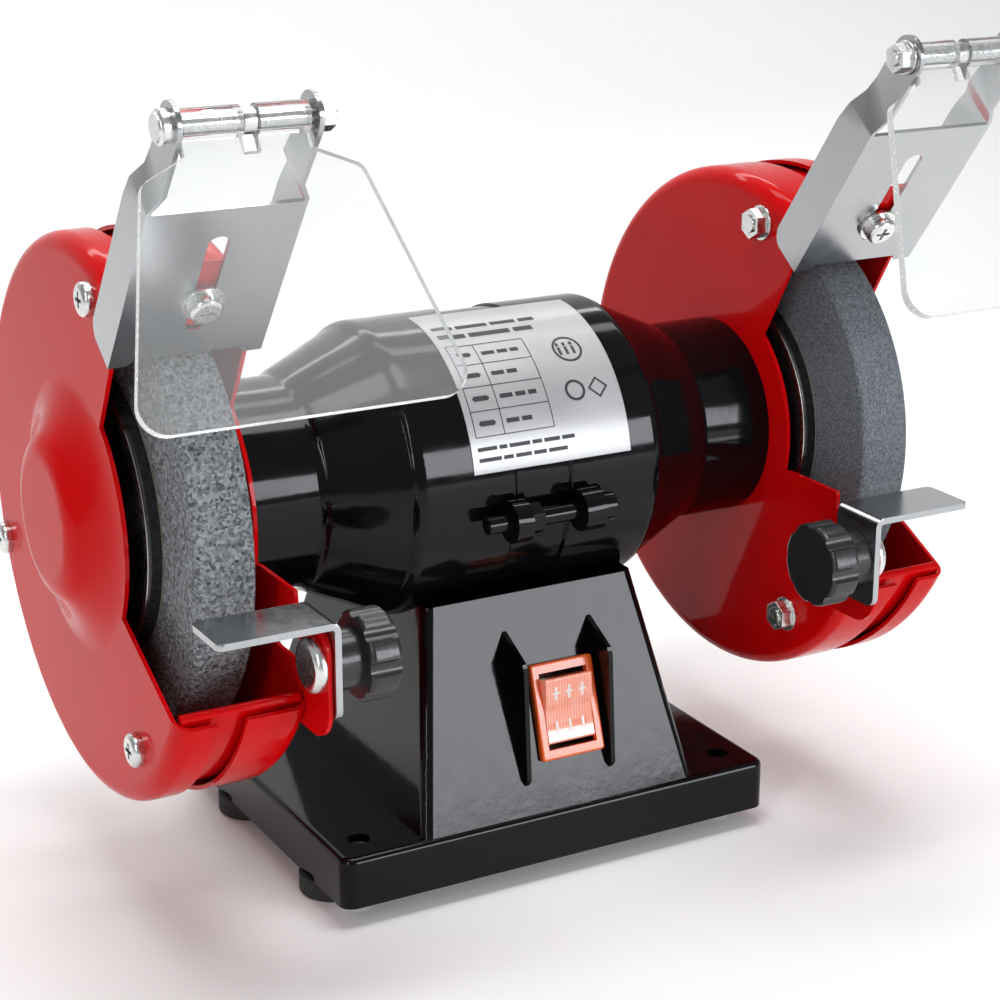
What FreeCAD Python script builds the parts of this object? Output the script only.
"""Bench grinder: two 125 mm wheels on one motor spindle, on a box base with a pedestal.

Frame: +X along the spindle to the right wheel, -Y is the working side, +Z is up. The origin
is on the bench plane, under the middle of the four mounting holes. Lengths are millimetres.
"""
import FreeCAD, Part
import math
import os
import Sketcher
from FreeCAD import Placement, Rotation, Vector

doc = FreeCAD.newDocument("bench_grinder")

DIMENSIONS = {
    # base and pedestal
    "base_width": 140, "base_depth": 111, "base_height": 15, "foot_height": 6, "base_wall": 2.5,
    "base_round": 2, "pedestal_top_z": 81.4, "pedestal_foot_half": 45.5, "pedestal_top_half": 34.2,
    "pedestal_top_depth": 70, "bench_hole": 6.5, "bench_hole_x": 60, "bench_hole_y": 44,
    "foot_x": 61.5, "foot_y": 30, "foot_radius": 10, "plate_thick": 1.2,
    # motor
    "shaft_height": 113.5, "motor_radius": 42.5, "motor_half": 38.5, "stator_half": 8.5,
    "cone_end": 60, "neck_radius": 30, "neck_flange": 34, "stator_radius": 41.8,
    "core_half": 25, "bore_radius": 24, "air_gap": 0.4, "bell_wall": 3.6,
    "bolt_ring": 46.8, "ear_radius": 6, "front_bolt_angle": 8, "low_bolt_angle": 70,
    "label_left": -22, "label_right": 28.5, "label_start": 9.5, "label_end": 88, "label_thick": 0.15,
    # spindle, bearings and wheels
    "shaft_radius": 8, "seat_radius": 7.5, "arbor_radius": 6.3, "bearing_outer": 17.5,
    "bearing_start": 64, "bearing_width": 11, "wheel_radius": 62.5, "wheel_width": 16,
    "wheel_start": 95.5, "wheel_bore": 6.35, "blotter": 0.4, "flange_radius": 39.5,
    "flange_width": 4.5, "arbor_nut": 8, "shaft_end": 126,
    # guards
    "guard_start": 85, "guard_end": 122, "guard_radius": 77.5, "guard_shift_y": -3,
    "guard_shift_z": -1, "guard_sheet": 1.2, "guard_round": 5, "inner_rim": 18, "cover_rim": 11,
    "strip_radius": 74.8, "strip_sheet": 1, "mouth_radius": 39, "guard_bolt_ring": 67.6,
    "dome_radius": 38, "dome_height": 9,
    # tool rests
    "rest_leg_x": 83, "rest_sheet": 1.8, "rest_reach": 33, "rest_front": -85.6, "rest_depth": 18,
    "rest_top": -9.9, "rest_foot": -36.5, "rest_bolt_y": -76.6, "rest_bolt_z": -23.5,
    # eye shields
    "clamp_y": -51.5, "clamp_z": 67.5, "lean": 36.5, "bracket_half": 20.5, "bracket_length": 54,
    "bracket_flange": 12.7, "hinge_along": 78.2, "hinge_back": 3.6, "ear_half": 18,
    "left_slide": 21.5, "right_slide": 17.5, "shield_sheet": 2.6, "barrel_radius": 3.9,
    # switch
    "switch_x": 5.2, "switch_z": 47.8, "bezel_width": 20.6, "bezel_height": 28,
}


class Measure:
    """A length or angle that keeps both its value and the sheet expression behind it."""

    def __init__(self, value, text):
        self.value = float(value)
        self.text = text

    def __add__(self, other):
        other = measure(other)
        return Measure(self.value + other.value, f"({self.text} + {other.text})")

    def __sub__(self, other):
        other = measure(other)
        return Measure(self.value - other.value, f"({self.text} - {other.text})")

    def __mul__(self, other):
        other = measure(other)
        return Measure(self.value * other.value, f"({self.text} * {other.text})")

    def __truediv__(self, other):
        other = measure(other)
        return Measure(self.value / other.value, f"({self.text} / {other.text})")

    def __neg__(self):
        return Measure(-self.value, f"(-1 * {self.text})")

    def __radd__(self, other):
        return measure(other) + self

    def __rsub__(self, other):
        return measure(other) - self

    def __rmul__(self, other):
        return measure(other) * self


def measure(number):
    return number if isinstance(number, Measure) else Measure(number, repr(float(number)))


def sin(angle):
    angle = measure(angle)
    return Measure(math.sin(math.radians(angle.value)), f"sin({angle.text})")


def cos(angle):
    angle = measure(angle)
    return Measure(math.cos(math.radians(angle.value)), f"cos({angle.text})")


def polar(radius, angle, centre=(0, 0)):
    """A point at an angle measured from the front (-Y) up over the top, in (y, z)."""
    return centre[0] - radius * cos(angle), centre[1] + radius * sin(angle)


sheet = doc.addObject("Spreadsheet::Sheet", "Dims")
for row, (alias, number) in enumerate(DIMENSIONS.items(), start=1):
    sheet.set(f"A{row}", alias)
    sheet.set(f"B{row}", str(number))
    sheet.setAlias(f"B{row}", alias)
doc.recompute()
D = {alias: Measure(number, f"Dims.{alias}") for alias, number in DIMENSIONS.items()}


# ---------------------------------------------------------------- building helpers

def bind(obj, prop, number):
    number = measure(number)
    obj.setExpression(prop, number.text)


def place(obj, x=0, y=0, z=0, axis=(1, 0, 0), angle=0):
    """Put an object at a bound position, turned about one axis."""
    x, y, z = measure(x), measure(y), measure(z)
    turn = Rotation(Vector(*axis), measure(angle).value)
    obj.Placement = Placement(Vector(x.value, y.value, z.value), turn)
    for letter, number in zip("xyz", (x, y, z)):
        bind(obj, f"Placement.Base.{letter}", number)


def new_body(label, **where):
    body = doc.addObject("PartDesign::Body", label)
    body.Label = label
    body.AllowCompound = True
    place(body, **where)
    return body


def draw(body, plane, loops, shift=(0, 0, 0)):
    """A sketch on one of the body's own planes. A loop is a circle (x, y, radius) or a list of
    corners; a corner (x, y, r) is reached by an arc, anticlockwise where r is positive."""
    sketch = body.newObject("Sketcher::SketchObject", f"{body.Label}_sketch")
    role = f"{plane}_Plane"
    support = next(f for f in body.Origin.OriginFeatures if f.Role == role)
    sketch.AttachmentSupport = (support, [""])
    sketch.MapMode = "FlatFace"
    shift = [measure(s) for s in shift]
    sketch.AttachmentOffset = Placement(Vector(*[s.value for s in shift]), Rotation())
    for letter, number in zip("xyz", shift):
        bind(sketch, f"AttachmentOffset.Base.{letter}", number)
    for loop in loops:
        if isinstance(loop, tuple):
            draw_circle(sketch, loop)
        else:
            draw_corners(sketch, loop)
    return sketch


def fix(sketch, kind, *where, value):
    value = measure(value)
    index = sketch.addConstraint(Sketcher.Constraint(kind, *where, value.value))
    sketch.setExpression(f"Constraints[{index}]", value.text)


def draw_circle(sketch, loop):
    x, y, radius = (measure(number) for number in loop)
    geo = sketch.addGeometry(Part.Circle(Vector(x.value, y.value, 0), Vector(0, 0, 1), radius.value))
    fix(sketch, "DistanceX", -1, 1, geo, 3, value=x)
    fix(sketch, "DistanceY", -1, 1, geo, 3, value=y)
    fix(sketch, "Radius", geo, value=radius)


def draw_corners(sketch, loop):
    corners = [tuple(measure(number) for number in corner) for corner in loop]
    spots = [Vector(corner[0].value, corner[1].value, 0) for corner in corners]
    ends = []
    for i, corner in enumerate(corners):
        start, stop = spots[i - 1], spots[i]
        if len(corner) == 2:
            geo = sketch.addGeometry(Part.LineSegment(start, stop))
            ends.append((geo, 1, 2))
        else:
            arc, forward = short_arc(start, stop, corner[2].value)
            geo = sketch.addGeometry(arc)
            ends.append((geo, 1, 2) if forward else (geo, 2, 1))
    for i, (geo, _, stop_end) in enumerate(ends):
        after, start_end, _ = ends[(i + 1) % len(ends)]
        sketch.addConstraint(Sketcher.Constraint("Coincident", geo, stop_end, after, start_end))
        fix(sketch, "DistanceX", -1, 1, geo, stop_end, value=corners[i][0])
        fix(sketch, "DistanceY", -1, 1, geo, stop_end, value=corners[i][1])
        if len(corners[i]) == 3:
            radius = corners[i][2]
            fix(sketch, "Radius", geo, value=radius if radius.value > 0 else -radius)


def short_arc(start, stop, radius):
    """The arc under half a turn between two points, and whether it runs anticlockwise."""
    chord = stop - start
    left = Vector(-chord.y, chord.x, 0).normalize()
    rise = math.sqrt(max(radius * radius - chord.Length ** 2 / 4, 0))
    side = 1 if radius > 0 else -1
    centre = (start + stop) * 0.5 + left * rise * side
    first, last = (start, stop) if radius > 0 else (stop, start)
    a0 = math.atan2(first.y - centre.y, first.x - centre.x)
    a1 = math.atan2(last.y - centre.y, last.x - centre.x)
    if a1 <= a0:
        a1 += 2 * math.pi
    circle = Part.Circle(centre, Vector(0, 0, 1), abs(radius))
    return Part.ArcOfCircle(circle, a0, a1), radius > 0


def slab(body, plane, loops, start, stop, cut=False):
    """Adds or cuts the loops between two heights on the axis that the plane faces."""
    start, stop = measure(start), measure(stop)
    facing_back = plane == "XZ"
    kind = "Pocket" if cut else "Pad"
    feature = body.newObject(f"PartDesign::{kind}", f"{body.Label}_{kind.lower()}")
    feature.Profile = draw(body, plane, loops, (0, 0, -start if facing_back else start))
    bind(feature, "Length", stop - start)
    feature.Reversed = facing_back != cut
    body.Tip = feature
    return feature


def span(side, near, far):
    """Start and stop along X of something between two distances from the middle."""
    return (near, far) if side > 0 else (-measure(far), -measure(near))


def flip(loop, side):
    """A profile drawn for the right side, turned over for the left one."""
    if side > 0:
        return loop
    return [(-measure(c[0]), c[1]) if len(c) == 2 else (-measure(c[0]), c[1], -measure(c[2]))
            for c in loop]


def turn(body, loops, plane="XZ", shift=(0, 0, 0), angle=360, kind="PartDesign::Revolution"):
    """Turns a profile in (along, radius) round the sketch's own horizontal axis."""
    feature = body.newObject(kind, f"{body.Label}_turn")
    sketch = draw(body, plane, loops, shift)
    feature.Profile = sketch
    feature.ReferenceAxis = (sketch, ["H_Axis"])
    feature.Angle = angle
    body.Tip = feature
    return feature


def box(x0, y0, x1, y1):
    return [(x0, y0), (x1, y0), (x1, y1), (x0, y1)]


def rounded_slot(x0, x1, y0, y1):
    """A slot with round ends, lying along whichever way it is longer."""
    x0, x1, y0, y1 = (measure(edge) for edge in (x0, x1, y0, y1))
    if (x1 - x0).value > (y1 - y0).value:
        r = (y1 - y0) / 2
        return [(x0 + r, y0, r), (x1 - r, y0), (x1, y0 + r, r), (x1 - r, y1, r), (x0 + r, y1),
                (x0, y1 - r, r)]
    r = (x1 - x0) / 2
    return [(x0, y0 + r), (x0 + r, y0, r), (x1, y0 + r, r), (x1, y1 - r), (x1 - r, y1, r),
            (x0, y1 - r, r)]


def cross(x, y, long, wide):
    """The outline of a cross recess, as one loop of twelve corners."""
    x, y, a, b = measure(x), measure(y), measure(long) / 2, measure(wide) / 2
    return [(x - b, y - a), (x + b, y - a), (x + b, y - b), (x + a, y - b), (x + a, y + b),
            (x + b, y + b), (x + b, y + a), (x - b, y + a), (x - b, y + b), (x - a, y + b),
            (x - a, y - b), (x - b, y - b)]


def hexagon(x, y, across):
    r = measure(across) / math.sqrt(3)
    return [(x + r * cos(60 * i + 30), y + r * sin(60 * i + 30)) for i in range(6)]


def round_edges(body, radius, chosen):
    """Fillets the tip's edges that the test picks."""
    doc.recompute()
    base = body.Tip
    names = [f"Edge{i}" for i, edge in enumerate(base.Shape.Edges, start=1) if chosen(edge)]
    feature = body.newObject("PartDesign::Fillet", f"{body.Label}_round")
    feature.Base = (base, names)
    bind(feature, "Radius", radius)
    body.Tip = feature
    return feature


def along(edge, axis):
    """True for a straight edge that runs along a direction."""
    if len(edge.Vertexes) != 2 or edge.Curve.TypeId != "Part::GeomLine":
        return False
    run = edge.Vertexes[1].Point - edge.Vertexes[0].Point
    return run.Length > 0.5 and abs(abs(run.normalize().dot(Vector(*axis))) - 1) < 1e-6


AXIS_Z = D["shaft_height"]
SIDES = {"left": -1, "right": 1}


# ---------------------------------------------------------------- base

def frustum(body, kind, low_z, high_z, low, high):
    """A block or a hollow between two rectangles given by their half sizes."""
    feature = body.newObject(kind, f"{body.Label}_loft")
    feature.Profile = draw(body, "XY", [rectangle(*low, 3)], (0, 0, low_z))
    feature.Sections = [draw(body, "XY", [rectangle(*high, 3)], (0, 0, high_z))]
    feature.Ruled = True
    body.Tip = feature


def rectangle(half_x, half_y, corner=0):
    x, y, r = measure(half_x), measure(half_y), measure(corner)
    if not corner:
        return box(-x, -y, x, y)
    return [(-x, -y + r), (-x + r, -y, r), (x - r, -y), (x, -y + r, r), (x, y - r), (x - r, y, r),
            (-x + r, y), (-x, y - r, r)]


def four(x, y, radius):
    return [(measure(x) * i, measure(y) * j, radius) for i in (-1, 1) for j in (-1, 1)]


# the front of the pedestal leans back; this is its surface at a given height
skirt_z, skirt_half = 17, D["base_depth"] / 2 - 0.05
lean_per_mm = (skirt_half - D["pedestal_top_depth"] / 2) / (D["pedestal_top_z"] - skirt_z)
face_lean = -math.degrees(math.atan(lean_per_mm.value))


def face_y(z):
    return -skirt_half + (measure(z) - skirt_z) * lean_per_mm


def make_base():
    half_x, half_y = D["base_width"] / 2, D["base_depth"] / 2
    wall, rim_z = D["base_wall"], D["foot_height"]
    top_z = rim_z + D["base_height"]
    body = new_body("base_housing")
    slab(body, "XY", [rectangle(half_x, half_y)], rim_z, top_z)
    round_edges(body, 4, lambda e: along(e, (0, 0, 1)))
    round_edges(body, D["base_round"], lambda e: e.BoundBox.ZMin > top_z.value - 0.01)
    frustum(body, "PartDesign::AdditiveLoft", skirt_z, D["pedestal_top_z"],
            (D["pedestal_foot_half"], skirt_half),
            (D["pedestal_top_half"], D["pedestal_top_depth"] / 2))
    slab(body, "XY", [rectangle(half_x - wall, half_y - wall)], rim_z, top_z - wall, cut=True)
    frustum(body, "PartDesign::SubtractiveLoft", skirt_z, D["pedestal_top_z"] + 1,
            (D["pedestal_foot_half"] - 3, half_y - 3.5), (D["pedestal_top_half"] - 5, 24))
    motor = (0, AXIS_Z, D["motor_radius"] + 0.02)
    slab(body, "YZ", [motor], -50, 50, cut=True)
    slab(body, "XY", four(D["bench_hole_x"], D["bench_hole_y"], D["bench_hole"] / 2), 0, 30, cut=True)
    switch = box(D["switch_x"] - 8.6, D["switch_z"] - 12.4, D["switch_x"] + 8.6, D["switch_z"] + 11.9)
    slab(body, "XZ", [switch], -60, -35, cut=True)
    slab(body, "XZ", [(-25, 13, 5)], 50, 60, cut=True)
    for start in (-11.2, 16.6):
        fin = [(face_y(71.5), 71.5), (-50, 65.5), (-50.9, 63.5), (-53.2, 31), (face_y(29), 29),
               (face_y(29) + 1.5, 29.5), (face_y(71.5) + 1.5, 71)]
        slab(body, "YZ", [fin], start, start + 1.4)
    vent = [box(x, 34, x + 3, 54) for x in range(-20, 21, 8)]
    slab(body, "XZ", vent, 35, 60, cut=True)
    return body


def make_bottom():
    half_x, half_y = D["base_width"] / 2, D["base_depth"] / 2
    rim_z, thick, inset = D["foot_height"], D["plate_thick"], D["base_wall"] + 0.3
    body = new_body("bottom_plate")
    slab(body, "XY", [rectangle(half_x - inset, half_y - inset)], rim_z, rim_z + thick)
    holes = four(D["bench_hole_x"], D["bench_hole_y"], D["bench_hole"] / 2)
    slab(body, "XY", holes + four(D["foot_x"], D["foot_y"], 2.1), 0, 10, cut=True)

    feet = new_body("rubber_feet")
    slab(feet, "XY", four(D["foot_x"], D["foot_y"], D["foot_radius"]), 0, rim_z)
    round_edges(feet, 1, lambda e: e.BoundBox.ZMax < 0.01)
    slab(feet, "XY", four(D["foot_x"], D["foot_y"], 4.6), 0, 3, cut=True)
    slab(feet, "XY", four(D["foot_x"], D["foot_y"], 2.1), 2, 8, cut=True)

    screws = new_body("feet_screws")
    slab(screws, "XY", four(D["foot_x"], D["foot_y"], 4), 0.9, 3)
    slab(screws, "XY", four(D["foot_x"], D["foot_y"], 2), 3, rim_z + thick)
    nuts = new_body("feet_nuts")
    places = [(D["foot_x"] * i, D["foot_y"] * j) for i in (-1, 1) for j in (-1, 1)]
    slab(nuts, "XY", [hexagon(x, y, 7) for x, y in places], rim_z + thick, rim_z + thick + 3)


def make_electrics():
    grommet = new_body("cable_grommet", x=-25, y=D["base_depth"] / 2, z=13, axis=(0, 0, 1), angle=90)
    turn(grommet, [[(-4.5, 3), (2.5, 3), (2.5, 5.5), (1.8, 6.4), (0.05, 6.4), (0.05, 4.95),
                    (-2.55, 4.95), (-2.55, 5.6), (-4.5, 5.6)]])
    can = new_body("run_capacitor", y=22, z=21.5)
    turn(can, [[(-24, 0), (24, 0), (24, 10.5), (25, 10.5), (25, 12), (-25, 12), (-25, 10.5), (-24, 10.5)]])
    strap = new_body("capacitor_strap", y=22)
    slab(strap, "YZ", [(0, 21.5, 13)], -5, 5)
    foot = box(-20, 7.25, 20, 9)
    slab(strap, "YZ", [foot], -5, 5)
    slab(strap, "YZ", [(0, 21.5, 12.02)], -6, 6, cut=True)
    block = new_body("terminal_block")
    slab(block, "XY", [box(-16, -16, 16, -5)], 7.25, 17)
    slab(block, "XY", [(x, -10.5, 2) for x in (-11, -3.7, 3.7, 11)], 12, 18, cut=True)
    round_edges(block, 0.6, lambda e: along(e, (0, 0, 1)) and e.BoundBox.ZLength > 8)


def make_switch():
    where = dict(x=D["switch_x"], y=face_y(D["switch_z"]), z=D["switch_z"], angle=face_lean)
    wide, high = D["bezel_width"] / 2, D["bezel_height"] / 2
    bezel = new_body("switch_bezel", **where)
    slab(bezel, "XZ", [rectangle(wide, high)], -2, -0.02)
    round_edges(bezel, 1, lambda e: along(e, (0, 1, 0)))
    round_edges(bezel, 0.7, lambda e: e.BoundBox.YMax < -1.99)
    slab(bezel, "XZ", [rectangle(7.9, 11.1)], -3, 3, cut=True)
    cup = new_body("switch_body", **where)
    slab(cup, "XZ", [rectangle(8.3, 11.4)], 0.02, 14)
    slab(cup, "XZ", [rectangle(7.9, 11)], -1, 11, cut=True)
    slab(cup, "XZ", [box(x - 0.4, -3, x + 0.4, 3) for x in (-5, 0, 5)], 14, 21)
    slab(cup, "YZ", [(4, 0, 1.45)], -9, 9, cut=True)
    rocker = new_body("switch_rocker", **where)
    profile = [(-5.2, 9.5), (-2.6, 0.4, 34), (-2, -9.5, -34), (3.5, -9), (6.5, -2.4), (6.5, 2.4),
               (3, 9)]
    slab(rocker, "YZ", [profile], -7.55, 7.55)
    slab(rocker, "YZ", [(4, 0, 1.4)], -8.25, 8.25)
    round_edges(rocker, 0.6, lambda e: along(e, (1, 0, 0)) and e.BoundBox.YMax < -1.5)


# ---------------------------------------------------------------- motor

def bolt_spots():
    """Motor through bolts in (y, z) from the shaft line: two at the joint, two in the pedestal."""
    ring, high, low = D["bolt_ring"], D["front_bolt_angle"], D["low_bolt_angle"]
    spots = [polar(ring, -high), polar(ring, -low)]
    return spots + [(-y, z) for y, z in spots]


def make_motor():
    radius, half, joint = D["motor_radius"], D["motor_half"], D["stator_half"]
    neck, cone, wall = D["neck_radius"], D["cone_end"], D["bell_wall"]
    start, width = D["bearing_start"], D["bearing_width"]
    for name, side in SIDES.items():
        bell = new_body(f"{name}_motor_bell", z=AXIS_Z)
        profile = [(joint, radius - 0.8), (joint + 0.8, radius), (half - 2.5, radius),
                   (half + 1.6, radius - 1.9, -5), (cone, neck + 1.5), (cone + 3, neck, 5),
                   (D["guard_start"] - 0.05, neck), (D["guard_start"] - 0.05, 12),
                   (start + width + 0.05, 12), (start + width + 0.05, D["bearing_outer"] + 0.02),
                   (start - 2, D["bearing_outer"] + 0.02), (start - 2, 25.5), (cone - 3, 25.5),
                   (half - 2, radius - wall), (joint, radius - wall)]
        turn(bell, [flip(profile, side)])
        ears = [(y, z, D["ear_radius"]) for y, z in bolt_spots()]
        slab(bell, "YZ", ears, *span(side, joint, joint + (5 if side < 0 else 6.5)))
        slab(bell, "YZ", [(y, z, 2.55) for y, z in bolt_spots()], *span(side, joint - 1, 40), cut=True)
        mount = [(y, z, 2) for y, z in screw_spots()]
        slab(bell, "YZ", mount, *span(side, D["guard_start"] - 8, D["guard_start"] + 1), cut=True)

    core = new_body("stator_core", z=AXIS_Z)
    inner = radius - wall - 0.02
    end, edge = D["core_half"], joint - 0.05
    turn(core, [[(-end, D["bore_radius"]), (end, D["bore_radius"]), (end, inner), (edge, inner),
                 (edge, D["stator_radius"]), (-edge, D["stator_radius"]), (-edge, inner), (-end, inner)]])
    windings = new_body("stator_windings", z=AXIS_Z)
    for side in (-1, 1):
        coil = [(end + 0.05, 25.5), (end + 12, 25.5), (end + 14, 27.5, 2), (end + 14, 33),
                (end + 12, 35, 2), (end + 0.05, 35)]
        turn(windings, [flip(coil, side)])
    bearings = new_body("shaft_bearings", z=AXIS_Z)
    for side in (-1, 1):
        ring = [(start, D["seat_radius"] + 0.04), (start + width, D["seat_radius"] + 0.04),
                (start + width, 10.2), (start + width - 0.5, 10.6), (start + width - 0.5, 14.4),
                (start + width, 14.8), (start + width, D["bearing_outer"]),
                (start, D["bearing_outer"]), (start, 14.8), (start + 0.5, 14.4),
                (start + 0.5, 10.6), (start, 10.2)]
        turn(bearings, [flip(ring, side)])

    bolts = new_body("motor_bolts", z=AXIS_Z)
    spots = bolt_spots()
    slab(bolts, "YZ", [(y, z, 2.5) for y, z in spots], -20.5, 15.5)
    slab(bolts, "YZ", [(y, z, 4.2) for y, z in spots], 15.02, 19.6)
    round_edges(bolts, 0.5, lambda e: e.BoundBox.XMin > 19.5)
    slab(bolts, "YZ", [hexagon(y, z, 4) for y, z in spots], 17, 20, cut=True)
    nuts = new_body("motor_nuts", z=AXIS_Z)
    slab(nuts, "YZ", [hexagon(y, z, 8) for y, z in spots], -8.4, -4)
    slab(nuts, "YZ", [(y, z, 2.52) for y, z in spots], -10, 0, cut=True)

    label = new_body("rating_label", z=AXIS_Z)
    low, high = radius + 0.03, radius + 0.03 + D["label_thick"]
    a, b = D["label_start"], D["label_end"]
    sticker = [polar(low, b), polar(low, a) + (low,), polar(high, a), polar(high, b) + (-high,)]
    slab(label, "YZ", [sticker], D["label_left"], D["label_right"])


def screw_spots():
    """Screws that hold each guard to the end of the motor neck."""
    return [polar(22, angle) for angle in (90, 210, 330)]


# ---------------------------------------------------------------- spindle

def make_spindle():
    seat, arbor = D["seat_radius"], D["arbor_radius"]
    shoulder = D["wheel_start"] - 5.4
    shaft = new_body("spindle_shaft", z=AXIS_Z)
    half = [(D["bearing_start"] - 0.1, seat + 1.5), (D["bearing_start"] - 0.1, seat), (shoulder, seat),
            (shoulder, arbor), (D["shaft_end"] - 0.8, arbor), (D["shaft_end"], arbor - 0.8),
            (D["shaft_end"], 0)]
    turn(shaft, [half + [(-c[0], c[1]) for c in reversed(half)]])
    rotor = new_body("rotor_core", z=AXIS_Z)
    end, outer = D["core_half"], D["bore_radius"] - D["air_gap"]
    bore = seat + 1.52
    turn(rotor, [[(-end, bore), (end, bore), (end, outer - 8), (end + 4, outer - 8), (end + 4, outer - 1.5),
                  (end, outer - 1.5), (end, outer), (-end, outer), (-end, outer - 1.5),
                  (-end - 4, outer - 1.5), (-end - 4, outer - 8), (-end, outer - 8)]])
    fan = new_body("cooling_fan", z=AXIS_Z)
    slab(fan, "YZ", [(0, 0, 14), (0, 0, bore)], 42, 52)
    blades = [[polar(12, k * 40 - 5), polar(23, k * 40 - 2), polar(23, k * 40 + 2), polar(12, k * 40 + 5)]
              for k in range(9)]
    slab(fan, "YZ", blades, 42.5, 51)
    near, far, wide = D["wheel_start"], D["wheel_start"] + D["wheel_width"], D["flange_radius"]
    card, thick = D["blotter"], D["flange_width"]
    cards = new_body("blotters", z=AXIS_Z)
    nuts = new_body("arbor_nuts", z=AXIS_Z)
    for name, side in SIDES.items():
        wheel = new_body(f"{name}_wheel", z=AXIS_Z)
        rim = D["wheel_radius"]
        turn(wheel, [flip([(near, D["wheel_bore"]), (far, D["wheel_bore"]), (far, rim - 0.8),
                           (far - 0.8, rim), (near + 0.8, rim), (near, rim - 0.8)], side)])
        for place_name, face, out in (("inner", near - card, -1), ("outer", far + card, 1)):
            flange = new_body(f"{name}_{place_name}_flange", z=AXIS_Z)
            back = face + thick * out
            contour = [(face, wide - 10), (face + 1.5 * out, wide - 10), (face + 1.5 * out, 14),
                       (face, 14), (face, D["wheel_bore"]), (back, D["wheel_bore"]), (back, 15),
                       (back - 1.2 * out, 31), (back - 1.2 * out, wide - 3.2),
                       (back - 0.6 * out, wide - 2.6), (back - 0.6 * out, wide - 0.8),
                       (back - 1.4 * out, wide), (face, wide)]
            turn(flange, [flip(contour, side)])
        for face in (near - card, far):
            card_ring = [(face + 0.02, D["wheel_bore"]), (face + card - 0.02, D["wheel_bore"]),
                         (face + card - 0.02, wide), (face + 0.02, wide)]
            turn(cards, [flip(card_ring, side)])
        seat_x = far + card + thick + 0.02
        slab(nuts, "YZ", [hexagon(0, 0, 19)], *span(side, seat_x, seat_x + D["arbor_nut"]))
        slab(nuts, "YZ", [(0, 0, arbor)], *span(side, seat_x - 1, seat_x + 12), cut=True)


# ---------------------------------------------------------------- wheel guards

def mouth(shift):
    """The front opening of a guard, drawn from the guard's own centre."""
    dy, dz = (-measure(s) for s in shift)
    ring = D["mouth_radius"]
    top, low = polar(ring, 51, (dy, dz)), polar(ring, -29, (dy, dz))
    return [(dy - 60, dz + 91), top, low + (ring,), (dy - 105.5, dz - 54.6), (dy - 112, dz + 92)]


def guard_dish(side, plate, rim):
    """A round-edged sheet dish: its plate is at the first distance, its rim ends at the second."""
    out = 1 if rim > plate else -1
    radius, sheet_t, bend = D["guard_radius"], D["guard_sheet"], D["guard_round"]
    plate, rim = measure(plate), measure(rim)
    turn_sign = -out
    profile = [(plate, 0), (plate, radius - bend), (plate + bend * out, radius, bend * turn_sign),
               (rim, radius), (rim, radius - sheet_t), (plate + bend * out, radius - sheet_t),
               (plate + sheet_t * out, radius - bend, (bend - sheet_t) * -turn_sign),
               (plate + sheet_t * out, 0)]
    return flip(profile, side)


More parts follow.
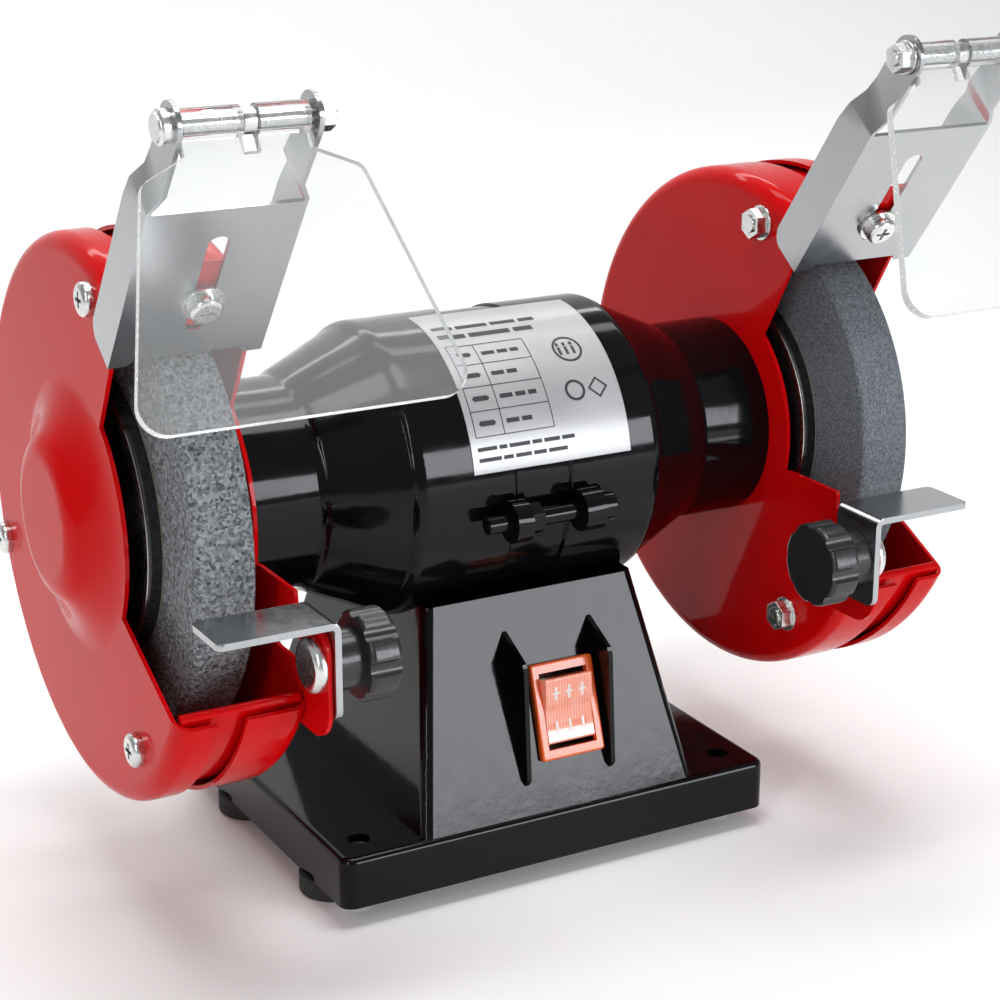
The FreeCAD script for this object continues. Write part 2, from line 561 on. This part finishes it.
def make_guards():
    shift = (D["guard_shift_y"], D["guard_shift_z"])
    dy, dz = -shift[0], -shift[1]
    where = dict(y=shift[0], z=AXIS_Z + shift[1])
    near, far, sheet_t = D["guard_start"], D["guard_end"], D["guard_sheet"]
    spots = [polar(D["guard_bolt_ring"], angle, (dy, dz)) for angle in (70.5, -51, 202)]
    bolts = new_body("guard_bolts", **where)
    washers = new_body("guard_washers", **where)
    nuts = new_body("guard_nuts", **where)
    fixing = new_body("neck_screws", z=AXIS_Z)
    for name, side in SIDES.items():
        inner = new_body(f"{name}_guard_inner", **where)
        turn(inner, [guard_dish(side, near.value, (near + D["inner_rim"]).value)])
        slab(inner, "YZ", [mouth(shift)], -140, 140, cut=True)
        wing = [(dy - 38, dz - 8.5), (dy - 42, dz - 8), (dy - 64, dz - 8), (dy - 64.4, dz - 13.2),
                (dy - 78, dz - 13.2), (dy - 84, dz - 19.2, 6), (dy - 84, dz - 34), (dy - 74.5, dz - 43.5, 9.5),
                (dy - 56, dz - 43.5), (dy - 38, dz - 36), (dy - 34, dz - 20)]
        slab(inner, "YZ", [wing], *span(side, near, near + sheet_t))
        groove = rounded_slot(dy - 81.3, dy - 50, dz - 26.75, dz - 20.25)
        holes = [(y, z, 2.6) for y, z in spots] + [(dy, dz, 11)]
        holes += [(dy + y, dz + z, 2.1) for y, z in screw_spots()]
        slab(inner, "YZ", [groove] + holes, -140, 140, cut=True)

        strip = new_body(f"{name}_guard_strip", **where)
        outer, gauge = D["strip_radius"], D["strip_sheet"]
        stops = (-28, -118, -208, -304.5)
        path = [polar(outer, stops[0])] + [polar(outer, a) + (outer,) for a in stops[1:]]
        path += [polar(outer - gauge, stops[3])]
        path += [polar(outer - gauge, a) + (gauge - outer,) for a in (stops[2], stops[1], stops[0])]
        reach = span(side, near + 2.15, far - 2.15)
        slab(strip, "YZ", [path], *reach)
        slab(strip, "YZ", [polar(outer - 1.4, -28) + (1.4,)], *reach)
        lean, at = D["lean"], (dy + D["clamp_y"], dz + D["clamp_z"])

        def clamp_point(along_e, behind):
            return (at[0] - along_e * sin(lean) + behind * cos(lean),
                    at[1] + along_e * cos(lean) + behind * sin(lean))

        tab = [clamp_point(-9.9, 0.1), clamp_point(13, 0.1), clamp_point(13, 1.1), clamp_point(-9.9, 1.1)]
        slab(strip, "YZ", [tab], *span(side, 88.5, 118.5))
        punch = [clamp_point(a, b) for a, b in ((-2.6, -1), (2.6, -1), (2.6, 2), (-2.6, 2))]
        middle = (near + far) / 2
        slab(strip, "YZ", [punch], *span(side, middle - 2.6, middle + 2.6), cut=True)

        cover = new_body(f"{name}_guard_cover", **where)
        turn(cover, [guard_dish(side, far.value, (far - D["cover_rim"]).value)])
        slab(cover, "YZ", [mouth(shift)], -140, 140, cut=True)
        holes = [(y, z, 2.6) for y, z in spots] + [(dy, dz, D["dome_radius"] - 1.3)]
        slab(cover, "YZ", holes, -140, 140, cut=True)
        base, rise = D["dome_radius"], D["dome_height"]
        dome = [(far - sheet_t, base), (far, base), (far + rise * 0.62, base * 0.62, 30),
                (far + rise, base * 0.44, -9), (far + rise, 0), (far + rise - sheet_t, 0),
                (far + rise - sheet_t, base * 0.42),
                (far + rise * 0.62 - sheet_t, base * 0.6, 8), (far - sheet_t, base - 1.8, -30)]
        turn(cover, [flip(dome, side)], shift=(0, dz, -dy))

        slab(bolts, "YZ", [(y, z, 2.5) for y, z in spots], *span(side, near - 5.2, far + 0.5))
        slab(bolts, "YZ", [(y, z, 4.7) for y, z in spots], *span(side, far + 0.02, far + 3))
        rings = [(y, z, r) for y, z in spots for r in (5.2, 2.55)]
        slab(washers, "YZ", rings, *span(side, near - 0.9, near - 0.02))
        slab(nuts, "YZ", [hexagon(y, z, 8) for y, z in spots], *span(side, near - 4.6, near - 0.92))
        slab(nuts, "YZ", [(y, z, 2.52) for y, z in spots], *span(side, near - 6, near), cut=True)
        slab(fixing, "YZ", [(y, z, 1.95) for y, z in screw_spots()], *span(side, near - 7, near + 1.5))
        slab(fixing, "YZ", [(y, z, 3.8) for y, z in screw_spots()],
             *span(side, near + sheet_t + 0.02, near + sheet_t + 2.4))
    tip = far.value + 2.9
    round_edges(bolts, 1.6, lambda e: max(abs(e.BoundBox.XMin), abs(e.BoundBox.XMax)) > tip)
    for side in (-1, 1):
        recess = [cross(y, z, 4.4, 1) for y, z in spots]
        slab(bolts, "YZ", recess, *span(side, far + 1.2, far + 4), cut=True)


# ---------------------------------------------------------------- tool rests

def make_rests():
    leg, gauge, reach = D["rest_leg_x"], D["rest_sheet"], D["rest_reach"]
    front, top, foot = D["rest_front"], D["rest_top"], D["rest_foot"]
    bolt_y, bolt_z = D["rest_bolt_y"], D["rest_bolt_z"]
    for name, side in SIDES.items():
        rest = new_body(f"{name}_tool_rest", z=AXIS_Z)
        bend = 2.6
        profile = [(leg, foot), (leg, top - bend), (leg + bend, top, -bend), (leg + reach, top),
                   (leg + reach, top - gauge), (leg + bend, top - gauge),
                   (leg + gauge, top - bend, bend - gauge), (leg + gauge, foot)]
        slab(rest, "XZ", [flip(profile, side)], front, front + D["rest_depth"])
        round_edges(rest, 3, lambda e: along(e, (1, 0, 0)) and e.BoundBox.ZMax < foot.value + 0.1)
        round_edges(rest, 2, lambda e: along(e, (0, 0, 1))
                    and max(abs(e.BoundBox.XMax), abs(e.BoundBox.XMin)) > (leg + reach).value - 0.1)
        slab(rest, "YZ", [(bolt_y, bolt_z, 2.95)], *span(side, leg - 1, leg + 3), cut=True)

        spot = (bolt_y, bolt_z)
        start = D["guard_start"] + D["guard_sheet"] + 0.1
        bolt = new_body(f"{name}_rest_bolt", z=AXIS_Z)
        slab(bolt, "YZ", [spot + (2.9,)], *span(side, leg - 10, start + 0.5))
        slab(bolt, "YZ", [spot + (7.5,)], *span(side, start, start + 2.9))
        tip = start.value + 2.8
        round_edges(bolt, 2, lambda e: max(abs(e.BoundBox.XMin), abs(e.BoundBox.XMax)) > tip)

        knob = new_body(f"{name}_rest_knob", y=bolt_y, z=AXIS_Z + bolt_z)
        slab(knob, "YZ", [(0, 0, 8)], *span(side, leg - 8, leg - 0.1))
        slab(knob, "YZ", [(0, 0, 12)], *span(side, leg - 16, leg - 7))
        round_edges(knob, 1.5, lambda e: e.BoundBox.YLength > 23)
        scallops = [polar(13.4, 45 * k) + (2.7,) for k in range(8)]
        slab(knob, "YZ", scallops, *span(side, leg - 20, leg - 6.5), cut=True)
        slab(knob, "YZ", [(0, 0, 2.95)], *span(side, leg - 11, leg + 1), cut=True)


# ---------------------------------------------------------------- eye shields

def make_shields():
    lean, mid = D["lean"], (D["guard_start"] + D["guard_end"]) / 2
    gauge, half = D["guard_sheet"], D["bracket_half"]
    clamp_line = dict(y=D["clamp_y"], z=AXIS_Z + D["clamp_z"], angle=lean)
    screws = new_body("clamp_screws", **clamp_line)
    slab(screws, "XZ", [(mid * side, 0, 2.4) for side in (-1, 1)], -3, 8)
    slab(screws, "XZ", [(mid * side, 0, 4.4) for side in (-1, 1)], -5.6, -2.3)
    round_edges(screws, 1.2, lambda e: e.BoundBox.YMax < -5.5)
    slab(screws, "XZ", [cross(mid * side, 0, 4.4, 1) for side in (-1, 1)], -6, -4, cut=True)
    washers = new_body("clamp_washers", **clamp_line)
    slab(washers, "XZ", [(mid * side, 0, r) for side in (-1, 1) for r in (5.6, 2.45)],
         -2.28, -gauge - 0.03)
    nuts = new_body("clamp_nuts", **clamp_line)
    slab(nuts, "XZ", [hexagon(mid * side, 0, 8) for side in (-1, 1)], 1.14, 5)
    slab(nuts, "XZ", [(mid * side, 0, 2.42) for side in (-1, 1)], 0, 6, cut=True)
    for name, side in SIDES.items():
        centre = dict(x=mid * side, **clamp_line)
        low = -D[f"{name}_slide"]
        high, pin = low + D["bracket_length"], low + D["hinge_along"]
        back, ear = D["hinge_back"], D["ear_half"]

        bracket = new_body(f"{name}_shield_bracket", **centre)
        arm = [(half - gauge, low), (half, low), (half, high + 1), (ear, high + 6), (ear, pin + 8),
               (ear - gauge, pin + 8), (ear - gauge, high + 6), (half - gauge, high + 1)]
        slab(bracket, "XZ", [arm, flip(arm, -1)], -5, 15)
        outline = [(-gauge, low), (9, low), (D["bracket_flange"], low + 4, 5),
                   (D["bracket_flange"], high - 6), (back + 6, pin - 12), (back + 6, pin),
                   (back, pin + 6, 6), (back - 6, pin, 6), (-gauge, high)]
        frame_box = box(-8, low - 3, 18, pin + 12)
        slab(bracket, "YZ", [frame_box, outline], -30, 30, cut=True)
        slab(bracket, "YZ", [(back, pin, 2.05)], -30, 30, cut=True)
        sheet_face = [(-half, low), (-15.5, low), (-14, low + 2), (14, low + 2), (15.5, low), (half, low),
                      (half, high), (-half, high)]
        slab(bracket, "XZ", [sheet_face], -gauge, 0)
        slab(bracket, "XZ", [rounded_slot(-2.75, 2.75, low + 10.75, low + 44.5)], -5, 5, cut=True)

        hinge = dict(x=mid * side, y=D["clamp_y"] - pin * sin(lean) + back * cos(lean),
                     z=AXIS_Z + D["clamp_z"] + pin * cos(lean) + back * sin(lean))
        pin_body = new_body(f"{name}_hinge_bolt", **hinge)
        bolt_profile = [(-ear - 5.2, 0), (-ear - 5.2, 2), (ear + 0.02, 2), (ear + 0.02, 4.3),
                        (ear + 2.4, 4.3), (ear + 3.4, 3.3, 1), (ear + 3.4, 0)]
        turn(pin_body, [flip(bolt_profile, side)])
        lock = new_body(f"{name}_hinge_nut", **hinge)
        slab(lock, "YZ", [hexagon(0, 0, 7)], *span(side, -ear - 4.2, -ear - 0.9))
        slab(lock, "YZ", [(0, 0, 4.6)], *span(side, -ear - 0.9, -ear - 0.02))
        slab(lock, "YZ", [(0, 0, 2.02)], *span(side, -ear - 6, -ear + 1), cut=True)

        tilt = -31
        shield = new_body(f"{name}_eye_shield", angle=tilt, **hinge)
        edge_top, edge_low, gauge_s = -12.9, -70.7, D["shield_sheet"]
        arms = 15.8
        panel = [(-arms, 0), (-arms, -7.5), (-27.4, edge_top), (-42, edge_low), (42, edge_low),
                 (27.4, edge_top), (arms, -7.5), (arms, 0)]
        slab(shield, "XZ", [panel], 0, gauge_s)
        round_edges(shield, 6.5, lambda e: along(e, (0, 1, 0)) and e.BoundBox.ZMax < edge_low + 0.1)
        round_edges(shield, 4, lambda e: along(e, (0, 1, 0)) and abs(e.BoundBox.ZMax - edge_top) < 0.1)
        slab(shield, "XZ", [flip(box(-3, -7.5, 1, 5), side)], -1, 4, cut=True)
        slab(shield, "YZ", [(0, 0, D["barrel_radius"])], *span(side, -arms, -3))
        slab(shield, "YZ", [(0, 0, D["barrel_radius"])], *span(side, 1, arms))
        slab(shield, "YZ", [(0, 0, 2.05)], -20, 20, cut=True)
        collar = new_body(f"{name}_hinge_collar", **hinge)
        slab(collar, "YZ", [(0, 0, 3.2), (0, 0, 2.02)], *span(side, -2.6, 0.6))


make_base()
make_bottom()
make_electrics()
make_switch()
make_motor()
make_spindle()
make_guards()
make_rests()
make_shields()
doc.recompute()

os.makedirs("parts", exist_ok=True)
broken = [obj.Label for obj in doc.Objects if "Invalid" in obj.State or "Error" in obj.State]
if broken:
    raise RuntimeError(f"did not compute: {broken}")
for body in doc.findObjects("PartDesign::Body"):
    if body.Shape.isNull() or not body.Shape.isValid():
        raise RuntimeError(f"{body.Label} has no sound shape")
    body.Shape.exportStep(f"parts/{body.Label}.step")
    print(body.Label, len(body.Shape.Solids), round(body.Shape.Volume, 1))
